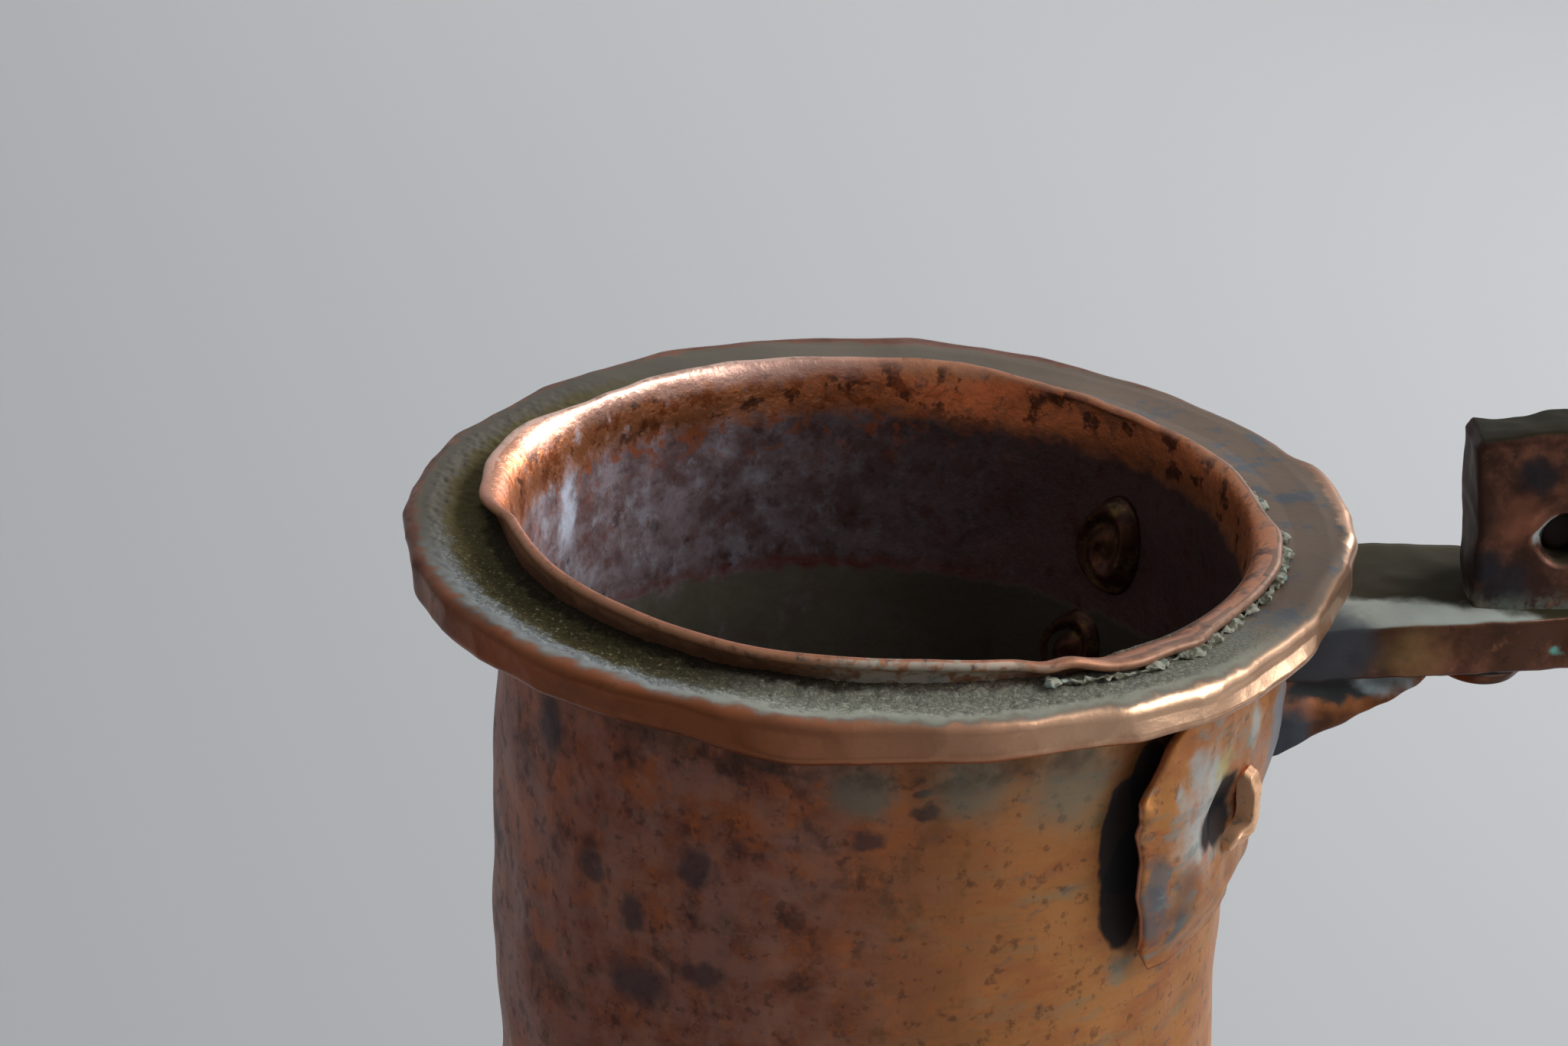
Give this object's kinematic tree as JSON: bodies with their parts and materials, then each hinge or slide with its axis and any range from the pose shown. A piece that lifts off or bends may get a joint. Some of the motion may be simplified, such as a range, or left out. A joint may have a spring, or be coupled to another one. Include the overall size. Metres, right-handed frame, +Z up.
{
  "type": "tea kettle",
  "caption": "Old hammered copper tea kettle: round belly, straight neck with heavy collar ring, gooseneck spout, flat bar handle and a lid hinged on the handle.",
  "frame": {"origin": "centre of the base on the surface it stands on", "axes": "+Z up the neck, +X towards the handle, -X towards the spout"},
  "size_m": [0.3136, 0.164, 0.3333],
  "materials": {
    "raised_copper": "hand raised copper sheet, brown patina",
    "forged_copper": "forged copper bar, hammered and worn bright on its edges",
    "copper_rivet": "peened copper rivets, dark oxide round the heads",
    "spout_copper": "bent copper tube, brown patina",
    "lid_copper": "raised copper lid, brown patina"
  },
  "bodies": {
    "kettle": {"neck_wall": "raised_copper", "shoulder_shell": "raised_copper", "belly_shell": "raised_copper", "base_pan": "raised_copper", "collar_ring": "forged_copper", "neck_plate": "raised_copper", "neck_plate_rivets": "copper_rivet", "root_bracket": "forged_copper", "handle_bar": "forged_copper", "hinge_lug": "forged_copper", "hinge_pin": "copper_rivet", "pin_washer": "copper_rivet", "belly_plate": "raised_copper", "belly_plate_rivets": "copper_rivet", "palm_rivets": "copper_rivet", "spout_tube": "spout_copper", "spout_saddle": "spout_copper", "spout_rim": "spout_copper"},
    "lid": {"lid_dome": "lid_copper", "lid_skirt": "lid_copper", "lid_knob": "forged_copper", "knob_rivet": "copper_rivet", "hinge_strap": "forged_copper", "strap_rivets": "copper_rivet"}
  },
  "joints": [
    {"name": "lid_hinge", "type": "hinge", "parent": "kettle", "child": "lid", "pos_m": [0.077, 0, 0.2234], "axis": [0, 1, 0], "range_deg": [-115, 0]}
  ]
}
